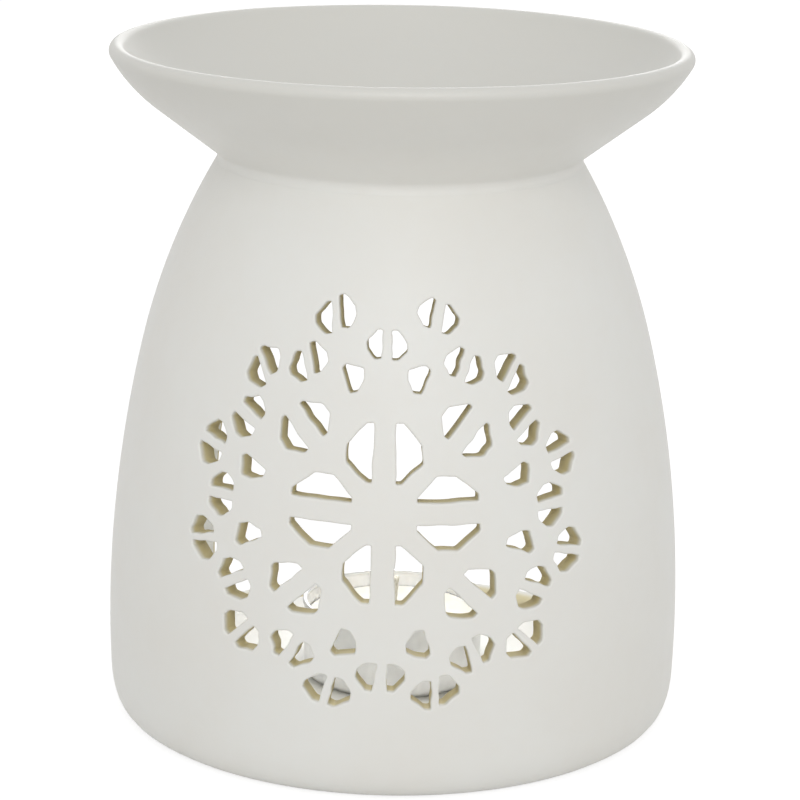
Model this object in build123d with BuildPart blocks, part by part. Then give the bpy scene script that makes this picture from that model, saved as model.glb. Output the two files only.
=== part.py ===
"""Essential oil burner: a pierced porcelain bell with an oil dish on its neck and a tealight inside.

The foot stands on Z = 0 with the axis of the bell on Z. The rosette looks along -Y, and the opening
for the candle is behind, at +Y. All sizes are in millimetres and all angles in degrees.
"""

from build123d import *
from math import acos, asin, cos, degrees, radians, sin, sqrt, tan
import os

# Bell: the slip-cast body
body_height = 117.5
belly_radius = 60.0
belly_height = 18.5
side_curve_radius = 252.0
shoulder_height = 79.5
shoulder_curve_radius = 139.5
body_wall = 4.0
floor_thickness = 4.3
floor_corner_round = 6.0

# Foot of the bell
foot_round_width = 4.6
foot_round_height = 8.8
foot_ring_width = 6.0
foot_recess_depth = 1.2

# Opening behind for the candle
opening_half_angle = 48.0
opening_top_share = 0.73
opening_spring_share = 0.36
opening_start_share = 0.3

# Rosette: its middle, its reach and how much it is flattened, as shares of the body's height
rosette_height_share = 0.4965
rosette_reach_share = 0.354
rosette_flattening_share = 0.95
hole_corner_round = 0.35

# Half outlines of the rosette's holes: shares of its reach, along a spoke and out to one side of it
gem_shares = [
    (0.156, 0.056), (0.450, 0.056), (0.450, 0.091), (0.343, 0.182), (0.252, 0.182), (0.156, 0.080)
]
upper_wing_shares = [
    (0.460, 0.049), (0.658, 0.049), (0.658, 0.072), (0.583, 0.145), (0.526, 0.145), (0.458, 0.077)
]
lower_wing_shares = [
    (0.473, 0.047), (0.662, 0.047), (0.662, 0.077), (0.582, 0.149), (0.554, 0.149), (0.473, 0.080)
]
petal_shares = [
    (0.602, -0.010), (0.602, 0.030), (0.732, 0.044), (0.750, 0.020), (0.706, -0.063), (0.656, -0.052)
]
inner_drop_shares = [
    (0.748, 0.027), (0.888, 0.027), (0.890, 0.056), (0.828, 0.107), (0.790, 0.107), (0.748, 0.062)
]
outer_drop_shares = [
    (0.864, 0.022), (1.008, 0.022), (1.010, 0.048), (0.956, 0.110), (0.918, 0.110), (0.864, 0.060)
]

# Rings of the rosette: spokes in a ring, angle of the first one
gem_spokes, gem_first_angle = 4, 0.0
wing_spokes, wing_first_angle = 4, 45.0
petal_spokes, petal_side_angle = 4, 14.5
drop_spokes, outer_drop_first_angle = 12, 15.0

# The two outer pairs beside the top spoke stand further from it, and further out, than the rest
top_pair_spread_share = 1.15
top_pair_stretch_share = 1.045

# Oil dish: a flared bowl luted to the neck
dish_height = 22.5
dish_wall = 3.2
dish_floor_thickness = 4.5
flare_angle = 37.6
flare_rise_share = 0.474
curl_radius = 31.8
bowl_round = 14.0

# Tealight: a pressed cup with its wax, wick and wick sustainer
cup_radius = 18.9
cup_height = 16.0
cup_wall = 0.4
cup_corner_round = 1.2
cup_bead_radius = 0.5
wax_height = 12.0
wax_clearance = 0.3
wax_top_round = 0.5
wick_radius = 0.9
wick_standing = 8.5
wick_clearance = 0.05
sustainer_radius = 6.2
sustainer_thickness = 0.3
sustainer_neck_wall = 0.25
sustainer_neck_height = 3.0
sustainer_clearance = 0.1

overrun = 3.0

# Outline of the bell: the long curve of the side runs into the tighter curve of the shoulder
floor_top = foot_recess_depth + floor_thickness
side_centre_radius = belly_radius - side_curve_radius
side_top_angle = degrees(asin((shoulder_height - belly_height) / side_curve_radius))
shoulder_shift = side_curve_radius - shoulder_curve_radius
shoulder_centre_radius = side_centre_radius + shoulder_shift * cos(radians(side_top_angle))
shoulder_centre_height = belly_height + shoulder_shift * sin(radians(side_top_angle))
neck_rise = body_height - shoulder_centre_height


def side_radius(height):
    """Radius of the bell's outside at a height."""
    if height < shoulder_height:
        rise, curve, centre = height - belly_height, side_curve_radius, side_centre_radius
    else:
        rise, curve, centre = height - shoulder_centre_height, shoulder_curve_radius, shoulder_centre_radius
    return centre + sqrt(curve**2 - rise**2)


neck_radius = side_radius(body_height)


def side_arcs(start_height, depth):
    """The side and shoulder of the bell from a height up to the neck, a depth below its outside."""
    start_angle = degrees(asin((start_height - belly_height) / (side_curve_radius - depth)))
    neck_angle = degrees(asin(neck_rise / (shoulder_curve_radius - depth)))
    side = CenterArc(
        (side_centre_radius, belly_height),
        side_curve_radius - depth,
        start_angle,
        side_top_angle - start_angle,
    )
    shoulder = CenterArc(
        (shoulder_centre_radius, shoulder_centre_height),
        shoulder_curve_radius - depth,
        side_top_angle,
        neck_angle - side_top_angle,
    )
    return side @ 0, shoulder @ 1


def ring_cylinder(outer, inner, low, high):
    """A tube about the axis, or a disc where inner is zero, from one height to another."""
    with BuildSketch(Plane.XY.offset(low)) as ring:
        Circle(outer)
        if inner > 0:
            Circle(inner, mode=Mode.SUBTRACT)
    extrude(ring.sketch, amount=high - low)


def wall_place(length):
    """Height and lean of the bell's outside at a length up along it from the rosette's middle."""
    lean = asin((rosette_height - belly_height) / side_curve_radius) + length / side_curve_radius
    past_top = (lean - radians(side_top_angle)) * side_curve_radius
    if past_top < 0:
        return belly_height + side_curve_radius * sin(lean), lean
    lean = radians(side_top_angle) + past_top / shoulder_curve_radius
    return shoulder_centre_height + shoulder_curve_radius * sin(lean), lean


def spoke_outline(shares, side, spoke_angle, stretch_share=1.0):
    """A hole's outline in the flat rosette: its shares turned to their spoke, in millimetres."""
    turn = radians(spoke_angle)
    points = []
    for along_share, aside_share in shares:
        along = along_share * stretch_share * rosette_reach
        aside = aside_share * rosette_reach * side
        across = along * cos(turn) - aside * sin(turn)
        up = (along * sin(turn) + aside * cos(turn)) * rosette_flattening_share
        points.append((across, up))
    return points


def hole_prism(points):
    """One hole's solid, which passes through the bell square to its wall at the hole's middle.

    The flat rosette is wrapped round the bell: up is a length along the wall, and across is an angle,
    so a hole narrows where the bell does.
    """
    middle_across = sum(across for across, up in points) / len(points)
    middle_up = sum(up for across, up in points) / len(points)
    height, lean = wall_place(middle_up)
    azimuth = middle_across / side_radius(rosette_height)
    narrowing = side_radius(height) / side_radius(rosette_height)
    ahead = Vector(sin(azimuth), -cos(azimuth), 0)
    tangent = Vector(cos(azimuth), sin(azimuth), 0)
    outwards = ahead * cos(lean) + Vector(0, 0, sin(lean))
    middle = ahead * side_radius(height) + Vector(0, 0, height)
    inside = Plane(origin=middle - outwards * (body_wall + overrun), x_dir=tangent, z_dir=outwards)
    outline = [((across - middle_across) * narrowing, up - middle_up) for across, up in points]
    with BuildSketch(inside) as hole:
        with BuildLine():
            Polyline(outline, close=True)
        make_face()
        fillet(hole.vertices(), hole_corner_round)
    return extrude(hole.sketch, amount=body_wall + 2 * overrun)


# Piercings of the rosette, as solids to cut away
rosette_height = rosette_height_share * body_height
rosette_reach = rosette_reach_share * body_height

piercings = []
for side in (-1, 1):
    for spoke in range(gem_spokes):
        spoke_angle = gem_first_angle + spoke * 360 / gem_spokes
        piercings.append(hole_prism(spoke_outline(gem_shares, side, spoke_angle)))
    for spoke in range(wing_spokes):
        spoke_angle = wing_first_angle + spoke * 360 / wing_spokes
        wing_shares = upper_wing_shares if spoke_angle < 180 else lower_wing_shares
        piercings.append(hole_prism(spoke_outline(wing_shares, side, spoke_angle)))
    for spoke in range(petal_spokes):
        spoke_angle = spoke * 360 / petal_spokes + side * petal_side_angle
        piercings.append(hole_prism(spoke_outline(petal_shares, side, spoke_angle)))
    for spoke in range(drop_spokes):
        spoke_angle = spoke * 360 / drop_spokes
        piercings.append(hole_prism(spoke_outline(inner_drop_shares, side, spoke_angle)))
        from_top = spoke_angle + outer_drop_first_angle - 90
        beside_top = abs(from_top) < 360 / drop_spokes
        spread_share = top_pair_spread_share if beside_top else 1.0
        stretch_share = top_pair_stretch_share if beside_top else 1.0
        outline = spoke_outline(outer_drop_shares, side, 90 + from_top * spread_share, stretch_share)
        piercings.append(hole_prism(outline))

# Arched opening, widening away from the axis so that its sides cut the wall squarely
opening_top = opening_top_share * body_height
opening_spring = opening_spring_share * body_height


def arch(distance):
    """The opening's outline in the plane at a distance behind the axis."""
    half_width = distance * tan(radians(opening_half_angle))
    with BuildSketch(Plane.XZ.offset(-distance)) as outline:
        with BuildLine():
            crown_height = opening_top - opening_spring
            crown = EllipticalCenterArc((0, opening_spring), half_width, crown_height, 0, arc_size=180)
            Polyline(crown @ 1, (-half_width, floor_top), (half_width, floor_top), crown @ 0)
        make_face()
    return outline.sketch


with BuildPart() as opening_cutter:
    loft([arch(belly_radius * opening_start_share), arch(belly_radius + overrun)], ruled=True)

# Bell
with BuildPart() as burner_body:
    with BuildSketch(Plane.XZ):
        with BuildLine():
            side_start, neck_outside = side_arcs(foot_round_height, 0)
            corner_slope = (belly_height - foot_round_height) / side_curve_radius
            corner_pull = (side_start.X - foot_round_height * corner_slope, 0)
            foot_edge = (side_start.X - foot_round_width, 0)
            Bezier(foot_edge, corner_pull, side_start)
            wall_foot, neck_inside = side_arcs(floor_top, body_wall)
            Line(neck_outside, neck_inside)
            ring_inside = foot_edge[0] - foot_ring_width
            Polyline(
                wall_foot,
                (0, floor_top),
                (0, foot_recess_depth),
                (ring_inside, foot_recess_depth),
                (ring_inside, 0),
                foot_edge,
            )
        make_face()
    revolve(axis=Axis.Z)
    floor_corner = burner_body.edges().filter_by(GeomType.CIRCLE).filter_by(
        lambda edge: abs(edge.center().Z - floor_top) < body_wall / 10
    )
    fillet(floor_corner, floor_corner_round)
    add(piercings, mode=Mode.SUBTRACT)
    add(opening_cutter.part, mode=Mode.SUBTRACT)

burner_body.part.label = "burner_body"

# Oil dish: the outline turns from the flare into the curl, over the lip and back down inside
flare_length = dish_height * flare_rise_share / sin(radians(flare_angle))
curl_centre_rise = dish_height * flare_rise_share + curl_radius * cos(radians(flare_angle))
lip_rise = dish_height - dish_wall / 2
lip_angle = degrees(acos((curl_centre_rise - lip_rise) / (curl_radius - dish_wall / 2)))
curl_turn = lip_angle - flare_angle
bowl_floor = body_height + dish_floor_thickness

with BuildPart() as oil_dish:
    with BuildSketch(Plane.XZ):
        with BuildLine():
            underside = Line((0, body_height), (neck_radius, body_height))
            flare = PolarLine(underside @ 1, flare_length, flare_angle)
            curl = JernArc(flare @ 1, flare % 1, curl_radius, curl_turn)
            lip = JernArc(curl @ 1, curl % 1, dish_wall / 2, 180)
            inner_curl = JernArc(lip @ 1, lip % 1, curl_radius - dish_wall, -curl_turn)
            round_rise = bowl_round * (1 - cos(radians(flare_angle)))
            inner_drop = (inner_curl @ 1).Y - bowl_floor - round_rise
            inner_length = inner_drop / sin(radians(flare_angle))
            inner_flare = PolarLine(inner_curl @ 1, inner_length, flare_angle + 180)
            bowl_corner = JernArc(inner_flare @ 1, inner_flare % 1, bowl_round, -flare_angle)
            Polyline(bowl_corner @ 1, (0, bowl_floor), (0, body_height))
        make_face()
    revolve(axis=Axis.Z)

oil_dish.part.label = "oil_dish"

# Tealight cup
cup_floor = floor_top + cup_wall
cup_top = floor_top + cup_height
bead_height = cup_top - cup_bead_radius

with BuildPart() as tealight_cup:
    ring_cylinder(cup_radius, 0, floor_top, bead_height)
    fillet(tealight_cup.faces().sort_by(Axis.Z)[0].edges(), cup_corner_round)
    offset(amount=-cup_wall, openings=tealight_cup.faces().sort_by(Axis.Z)[-1])
    with BuildSketch(Plane.XZ):
        with Locations((cup_radius - cup_wall / 2, bead_height)):
            Circle(cup_bead_radius)
    revolve(axis=Axis.Z)

tealight_cup.part.label = "tealight_cup"

# Wax, with a bore for the wick and a recess below for the sustainer
wax_radius = cup_radius - cup_wall - wax_clearance
wax_top = cup_floor + wax_height
neck_outer_radius = wick_radius + wick_clearance + sustainer_neck_wall
disc_top = cup_floor + sustainer_thickness
neck_top = disc_top + sustainer_neck_height

with BuildPart() as candle_wax:
    ring_cylinder(wax_radius, wick_radius + wick_clearance, cup_floor, wax_top)
    rims = candle_wax.edges().filter_by(GeomType.CIRCLE).group_by(SortBy.RADIUS)[-1].sort_by(Axis.Z)
    fillet(rims[0], cup_corner_round)
    fillet(rims[-1], wax_top_round)
    with BuildSketch(Plane.XY.offset(cup_floor)):
        Circle(sustainer_radius + sustainer_clearance)
    extrude(amount=sustainer_thickness, mode=Mode.SUBTRACT)
    with BuildSketch(Plane.XY.offset(disc_top)):
        Circle(neck_outer_radius + sustainer_clearance)
    extrude(amount=sustainer_neck_height, mode=Mode.SUBTRACT)

candle_wax.part.label = "candle_wax"

# Wick sustainer: a steel disc with a crimped neck round the wick
with BuildPart() as wick_sustainer:
    ring_cylinder(sustainer_radius, wick_radius + wick_clearance, cup_floor, disc_top)
    ring_cylinder(neck_outer_radius, wick_radius + wick_clearance, disc_top, neck_top)

wick_sustainer.part.label = "wick_sustainer"

# Wick
with BuildPart() as wick:
    ring_cylinder(wick_radius, 0, cup_floor, wax_top + wick_standing)

wick.part.label = "wick"

os.makedirs("parts", exist_ok=True)
export_step(burner_body.part, "parts/burner_body.step")
export_step(oil_dish.part, "parts/oil_dish.step")
export_step(tealight_cup.part, "parts/tealight_cup.step")
export_step(candle_wax.part, "parts/candle_wax.step")
export_step(wick_sustainer.part, "parts/wick_sustainer.step")
export_step(wick.part, "parts/wick.step")
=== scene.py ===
"""Essential oil burner: the looks of a pierced porcelain bell, its oil dish and its tealight.

The bell stands on Z = 0 with its axis on Z, the rosette looks along -Y and the opening for the
candle is behind, at +Y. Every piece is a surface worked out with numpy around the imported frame.
"""

import logging
from dataclasses import dataclass, field, replace
from enum import Enum
from math import acos, asin, atan2, ceil, cos, pi, radians, sin, sqrt, tan
from typing import Any, Iterator, Sequence

import bpy
import numpy as np
from mathutils import Matrix, Vector
from mathutils.geometry import delaunay_2d_cdt


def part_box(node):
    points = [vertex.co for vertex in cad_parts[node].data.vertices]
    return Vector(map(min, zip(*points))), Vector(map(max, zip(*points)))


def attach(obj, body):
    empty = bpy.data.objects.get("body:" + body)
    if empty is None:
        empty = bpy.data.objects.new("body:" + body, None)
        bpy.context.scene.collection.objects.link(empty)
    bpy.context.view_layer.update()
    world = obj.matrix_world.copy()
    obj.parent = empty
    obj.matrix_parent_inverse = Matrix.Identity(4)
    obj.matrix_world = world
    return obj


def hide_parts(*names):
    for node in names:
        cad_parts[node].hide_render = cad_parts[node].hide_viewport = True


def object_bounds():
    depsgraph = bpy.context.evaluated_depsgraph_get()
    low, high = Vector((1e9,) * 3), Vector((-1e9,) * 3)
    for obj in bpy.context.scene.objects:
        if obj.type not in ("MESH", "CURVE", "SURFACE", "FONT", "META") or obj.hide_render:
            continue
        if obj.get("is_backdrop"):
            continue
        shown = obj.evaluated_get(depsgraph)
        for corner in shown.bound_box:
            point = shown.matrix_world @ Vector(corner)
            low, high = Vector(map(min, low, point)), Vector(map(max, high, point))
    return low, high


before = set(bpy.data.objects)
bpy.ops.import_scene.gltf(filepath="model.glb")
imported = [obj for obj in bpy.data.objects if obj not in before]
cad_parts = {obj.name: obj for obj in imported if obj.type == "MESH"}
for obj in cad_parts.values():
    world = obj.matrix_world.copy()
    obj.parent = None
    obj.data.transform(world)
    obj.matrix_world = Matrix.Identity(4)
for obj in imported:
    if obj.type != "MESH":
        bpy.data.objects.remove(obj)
cad_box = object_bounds()

log = logging.getLogger("oil_burner")

MM = 0.001
FULL_TURN = 2 * pi
TINY = 1e-9
WHITE = (1, 1, 1, 1)

# A tone is red, green and blue, as screen values of 0 to 255
Tone = tuple[int, int, int]

# A rim is where an opening meets one side of the wall: its points, and the numbers of their vertices
Rim = tuple[np.ndarray, np.ndarray]


def linear_tone(tone: Tone) -> tuple[float, float, float, float]:
    """Turns a tone into the linear colour that a shader takes, by the standard curve of a screen.

    Args:
        tone: The tone.

    Returns:
        Linear red, green and blue, and a full alpha.
    """
    screen = np.array(tone) / 255
    linear = np.where(screen > 0.04045, ((screen + 0.055) / 1.055) ** 2.4, screen / 12.92)
    return (*linear.tolist(), 1.0)


def smooth_step(value: np.ndarray) -> np.ndarray:
    """Eases from 0 to 1 while the value goes from 0 to 1."""
    held = np.clip(value, 0, 1)
    return held * held * (3 - 2 * held)


class Signal:
    """An output socket of a material, on which plain arithmetic adds Math nodes."""

    def __init__(self, recipe: "Recipe", socket: bpy.types.NodeSocket) -> None:
        """Keeps the recipe that the socket belongs to, and the socket."""
        self.recipe = recipe
        self.socket = socket

    def _math(self, operation: str, *terms: Any) -> "Signal":
        """Adds one Math node that works on the given terms."""
        return self.recipe.node("ShaderNodeMath", {"operation": operation}, dict(enumerate(terms)))

    def __add__(self, other: Any) -> "Signal":
        """This signal and another, added."""
        return self._math("ADD", self, other)

    def __sub__(self, other: Any) -> "Signal":
        """This signal less another."""
        return self._math("SUBTRACT", self, other)

    def __rsub__(self, other: Any) -> "Signal":
        """Another value less this signal."""
        return self._math("SUBTRACT", other, self)

    def __mul__(self, other: Any) -> "Signal":
        """This signal times another."""
        return self._math("MULTIPLY", self, other)

    def __or__(self, other: Any) -> "Signal":
        """The higher of this signal and another."""
        return self._math("MAXIMUM", self, other)

    __radd__ = __add__
    __rmul__ = __mul__

    def ease(self, low: float, high: float) -> "Signal":
        """Goes smoothly from 0 where the signal is low to 1 where it is high."""
        values = {"Value": self, "From Min": low, "From Max": high}
        return self.recipe.node("ShaderNodeMapRange", {"interpolation_type": "SMOOTHSTEP"}, values)


@dataclass(frozen=True)
class Clouds:
    """A layer of cloudy noise from 0 to 1.

    It has the width of its largest clouds, how many finer layers lie on them and how strong those are,
    and, where it is eased, the noise that counts as 0 and the noise that counts as 1.
    """

    size: float
    detail: float = 3.0
    roughness: float = 0.55
    ease: tuple[float, float] | None = None


class Recipe:
    """The node tree of one material or of the world, filled in by short calls."""

    def __init__(self, tree: bpy.types.NodeTree) -> None:
        """Empties the tree, so that it holds only what the calls add."""
        self.tree = tree
        tree.nodes.clear()

    @classmethod
    def for_material(cls, name: str) -> tuple["Recipe", bpy.types.Material]:
        """Starts the recipe of a new material.

        Args:
            name: Name of the material.

        Returns:
            The recipe and the material that it fills.
        """
        material = bpy.data.materials.new(name)
        material.use_nodes = True
        return cls(material.node_tree), material

    def node(
        self,
        kind: str,
        settings: dict[str, Any] | None = None,
        values: dict[int | str, Any] | None = None,
        output: int | str = 0,
    ) -> Signal:
        """Adds a node, sets it, and fills its sockets with values or links.

        Args:
            kind: Type of the node.
            settings: Properties of the node, set before its sockets.
            values: A number, a colour or a signal for each socket, by its name or its place.
            output: Name or place of the output that is wanted.

        Returns:
            That output, as a signal.
        """
        made = self.tree.nodes.new(kind)
        for name, value in (settings or {}).items():
            setattr(made, name, value)
        for place, value in (values or {}).items():
            socket = made.inputs[place]
            if isinstance(value, Signal):
                self.tree.links.new(value.socket, socket)
            else:
                socket.default_value = value
        made_output = made.outputs[output] if made.outputs else made.inputs[0]
        return Signal(self, made_output)

    def place(self) -> Signal:
        """Where the shaded point is on the piece, in metres."""
        return self.node("ShaderNodeTexCoord", output="Object")

    def mark(self, name: str) -> Signal:
        """A value that the piece's mesh carries at each vertex."""
        return self.node("ShaderNodeAttribute", {"attribute_name": name}, output="Fac")

    def noise(self, at: Signal, layer: Clouds) -> Signal:
        """Reads a layer of noise.

        Args:
            at: Where it is read.
            layer: The layer.

        Returns:
            The noise, from 0 to 1.
        """
        values: dict[int | str, Any] = {"Vector": at, "Scale": 1 / layer.size}
        values |= {"Detail": layer.detail, "Roughness": layer.roughness}
        noise = self.node("ShaderNodeTexNoise", values=values)
        return noise.ease(*layer.ease) if layer.ease else noise

    def drawn_out(self, at: Signal, shares: tuple[float, float, float]) -> Signal:
        """Scales a place along X, Y and Z: noise that is read there is drawn out where a share is small."""
        return self.node("ShaderNodeVectorMath", {"operation": "MULTIPLY"}, {0: at, 1: shares})

    def blend(self, share: Any, first: Any, second: Any) -> Signal:
        """Mixes two colours.

        Args:
            share: How much of the second colour there is, from 0 to 1.
            first: The colour at 0.
            second: The colour at 1.

        Returns:
            The mixed colour.
        """
        return self.node("ShaderNodeMix", {"data_type": "RGBA"}, {0: share, 6: first, 7: second}, output=2)

    def bump(self, height: Signal, depth: float, under: Signal | None = None) -> Signal:
        """Turns a height from 0 to 1 into a normal.

        Args:
            height: The height.
            depth: What a height of 1 is, in metres.
            under: A coarser normal that this one lies on.

        Returns:
            The normal.
        """
        values: dict[int | str, Any] = {"Height": height, "Distance": depth}
        if under is not None:
            values["Normal"] = under
        return self.node("ShaderNodeBump", values=values)

    def surface(self, values: dict[int | str, Any]) -> None:
        """Ends the recipe in one principled shader with the given sockets."""
        self.output(self.node("ShaderNodeBsdfPrincipled", values=values))

    def output(self, shader: Signal, kind: str = "ShaderNodeOutputMaterial") -> None:
        """Ends the recipe in a shader."""
        self.node(kind, values={"Surface": shader})


@dataclass(frozen=True)
class Porcelain:
    """Unpolished white porcelain under a thin, satiny glaze, with the clay showing where it was cut; painted
    shade darkens the dish where its satin mark lies, and the cuts towards their inner edge.
    """

    clay: Tone = (230, 230, 226)
    cloud: Tone = (227, 225, 219)
    # painted shade: the grey that darkens the dish's inside and underside where the satin mark lies
    painted_shade: Tone = (210, 209, 203)
    # raw clay of the cut walls, darkened as painted shade, and a darker painted shade for their inner edge
    cut_clay_and_shade: Tone = (208, 196, 148)
    inner_clay_and_shade: Tone = (190, 177, 134)
    clouds: Clouds = Clouds(34 * MM, 2.0, ease=(0.3, 0.75))
    mottle: Clouds = Clouds(3.2 * MM, 4.0, 0.6, (0.25, 0.8))
    grain: Clouds = Clouds(0.34 * MM, 3.0, 0.65)
    dimples: Clouds = Clouds(1.6 * MM, 1.0)
    cloud_strength: float = 0.55
    mottle_strength: float = 0.2
    painted_shade_strength: float = 0.85
    cut_cover_share: float = 0.85
    clay_full_share: float = 0.4
    inner_shade_start_share: float = 0.3
    roughness: float = 0.5
    satin_roughness: float = 0.34
    cut_roughness: float = 0.82
    mottle_roughness: float = 0.04
    dimple_share: float = 0.6
    dimple_depth: float = 0.007 * MM
    grain_depth: float = 0.003 * MM
    refraction: float = 1.5
    glow_share: float = 0.08
    glow_reach: tuple[float, float, float] = (1.0, 0.85, 0.7)
    glow_depth: float = 1.2 * MM

    def make(self, name: str) -> bpy.types.Material:
        """Mixes the glaze, clouded and dimpled: smoother and darkened by painted shade where the satin mark
        lies, raw clay in the cuts, darkened further in by painted shade.

        Args:
            name: Name of the material.

        Returns:
            The material.
        """
        recipe, material = Recipe.for_material(name)
        at = recipe.place()
        clouds = recipe.noise(at, self.clouds)
        mottle = recipe.noise(at, self.mottle)
        grain = recipe.noise(at, self.grain)
        dimples = recipe.noise(at, self.dimples)
        cut = recipe.mark("cut")
        satin = recipe.mark("satin")

        clouded = clouds * self.cloud_strength + mottle * self.mottle_strength
        glaze_tone = recipe.blend(clouded, linear_tone(self.clay), linear_tone(self.cloud))
        # painted shade: darkens the dish's inside and underside towards a grey along the satin mark
        glaze_tone = recipe.blend(satin * self.painted_shade_strength, glaze_tone, linear_tone(self.painted_shade))
        cover = self.cut_cover_share + (1 - self.cut_cover_share) * mottle
        in_cut = cut.ease(0.0, self.clay_full_share) * cover
        # painted shade: the cut walls darken towards their inner edge, where the holes lie in shadow
        deep_shade = cut.ease(self.inner_shade_start_share, 1.0)
        cut_tone = recipe.blend(deep_shade, linear_tone(self.cut_clay_and_shade), linear_tone(self.inner_clay_and_shade))
        tone = recipe.blend(in_cut, glaze_tone, cut_tone)
        satin_drop = self.roughness - self.satin_roughness
        matt_rise = self.cut_roughness - self.roughness
        roughness = self.roughness - satin_drop * satin + matt_rise * cut
        roughness = roughness + (mottle - 0.5) * self.mottle_roughness
        relief = dimples * self.dimple_share + mottle * (1 - self.dimple_share)
        skin = recipe.bump(relief, self.dimple_depth)
        recipe.surface(
            {
                "Base Color": tone,
                "Roughness": roughness,
                "IOR": self.refraction,
                "Subsurface Weight": self.glow_share,
                "Subsurface Radius": self.glow_reach,
                "Subsurface Scale": self.glow_depth,
                "Normal": recipe.bump(grain, self.grain_depth, skin),
            }
        )
        return material


@dataclass(frozen=True)
class PressedFoil:
    """Thin drawn aluminium of the tealight's cup, with fine draw lines up its wall."""

    metal: Tone = (240, 240, 241)
    dull: Tone = (222, 223, 225)
    lines: Clouds = Clouds(0.5 * MM, 3.0, 0.6)
    line_shares: tuple[float, float, float] = (1, 1, 0.04)
    smears: Clouds = Clouds(6 * MM, ease=(0.35, 0.75))
    smear_strength: float = 0.6
    roughness: float = 0.36
    smear_roughness: float = 0.14
    line_roughness: float = 0.1
    line_depth: float = 0.015 * MM

    def make(self, name: str) -> bpy.types.Material:
        """Draws lines along the height by squeezing the noise that way.

        Args:
            name: Name of the material.

        Returns:
            The material.
        """
        recipe, material = Recipe.for_material(name)
        at = recipe.place()
        lines = recipe.noise(recipe.drawn_out(at, self.line_shares), self.lines)
        smears = recipe.noise(at, self.smears)
        smeared = smears * self.smear_strength
        roughness = self.roughness + self.smear_roughness * smears
        recipe.surface(
            {
                "Base Color": recipe.blend(smeared, linear_tone(self.metal), linear_tone(self.dull)),
                "Metallic": 1.0,
                "Roughness": roughness + (lines - 0.5) * self.line_roughness,
                "Normal": recipe.bump(lines, self.line_depth),
            }
        )
        return material


@dataclass(frozen=True)
class TinnedSteel:
    """Bright tinned sheet of the wick sustainer, faintly rolled in one direction."""

    metal: Tone = (203, 203, 200)
    stain: Tone = (176, 173, 166)
    lines: Clouds = Clouds(0.25 * MM, 2.0)
    line_shares: tuple[float, float, float] = (0.05, 1, 1)
    stains: Clouds = Clouds(2.4 * MM, 4.0, ease=(0.45, 0.7))
    stain_strength: float = 0.7
    roughness: float = 0.3
    stain_roughness: float = 0.2
    line_depth: float = 0.01 * MM

    def make(self, name: str) -> bpy.types.Material:
        """Rolls the sheet along X, with darker stains where wax has crept under it.

        Args:
            name: Name of the material.

        Returns:
            The material.
        """
        recipe, material = Recipe.for_material(name)
        at = recipe.place()
        lines = recipe.noise(recipe.drawn_out(at, self.line_shares), self.lines)
        stains = recipe.noise(at, self.stains)
        stained = stains * self.stain_strength
        recipe.surface(
            {
                "Base Color": recipe.blend(stained, linear_tone(self.metal), linear_tone(self.stain)),
                "Metallic": 1.0,
                "Roughness": self.roughness + self.stain_roughness * stains,
                "Normal": recipe.bump(lines, self.line_depth),
            }
        )
        return material


@dataclass(frozen=True)
class Paraffin:
    """White candle wax, a little cloudy and see-through at its edges."""

    wax: Tone = (236, 234, 227)
    cloud: Tone = (226, 223, 212)
    clouds: Clouds = Clouds(5 * MM, ease=(0.3, 0.7))
    frost: Clouds = Clouds(0.7 * MM, 4.0, 0.65)
    cloud_strength: float = 0.7
    roughness: float = 0.36
    frost_roughness: float = 0.16
    frost_share: float = 0.6
    skin_depth: float = 0.03 * MM
    refraction: float = 1.44
    glow_share: float = 0.35
    glow_reach: tuple[float, float, float] = (1.0, 0.9, 0.75)
    glow_depth: float = 2 * MM

    def make(self, name: str) -> bpy.types.Material:
        """Clouds the wax in two sizes and gives it a greasy skin.

        Args:
            name: Name of the material.

        Returns:
            The material.
        """
        recipe, material = Recipe.for_material(name)
        at = recipe.place()
        clouds = recipe.noise(at, self.clouds)
        frost = recipe.noise(at, self.frost)
        clouded = clouds * self.cloud_strength
        relief = frost * self.frost_share + clouds * (1 - self.frost_share)
        recipe.surface(
            {
                "Base Color": recipe.blend(clouded, linear_tone(self.wax), linear_tone(self.cloud)),
                "Roughness": self.roughness + self.frost_roughness * frost,
                "IOR": self.refraction,
                "Subsurface Weight": self.glow_share,
                "Subsurface Radius": self.glow_reach,
                "Subsurface Scale": self.glow_depth,
                "Normal": recipe.bump(relief, self.skin_depth),
            }
        )
        return material


@dataclass(frozen=True)
class WaxedCotton:
    """Bleached cotton of the wick, primed with wax, with fine fibres."""

    cotton: Tone = (233, 229, 217)
    shade: Tone = (196, 189, 172)
    fibres: Clouds = Clouds(0.12 * MM, 3.0, 0.7)
    hollow_strength: float = 0.8
    fibre_strength: float = 0.2
    roughness: float = 0.7
    fibre_roughness: float = 0.2
    fibre_depth: float = 0.05 * MM

    def make(self, name: str) -> bpy.types.Material:
        """Darkens the hollows between the strands, which the mesh marks, and adds fine fibres.

        Args:
            name: Name of the material.

        Returns:
            The material.
        """
        recipe, material = Recipe.for_material(name)
        fibres = recipe.noise(recipe.place(), self.fibres)
        shaded = recipe.mark("hollow") * self.hollow_strength + fibres * self.fibre_strength
        recipe.surface(
            {
                "Base Color": recipe.blend(shaded, linear_tone(self.cotton), linear_tone(self.shade)),
                "Roughness": self.roughness + self.fibre_roughness * fibres,
                "Normal": recipe.bump(fibres, self.fibre_depth),
            }
        )
        return material


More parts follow.
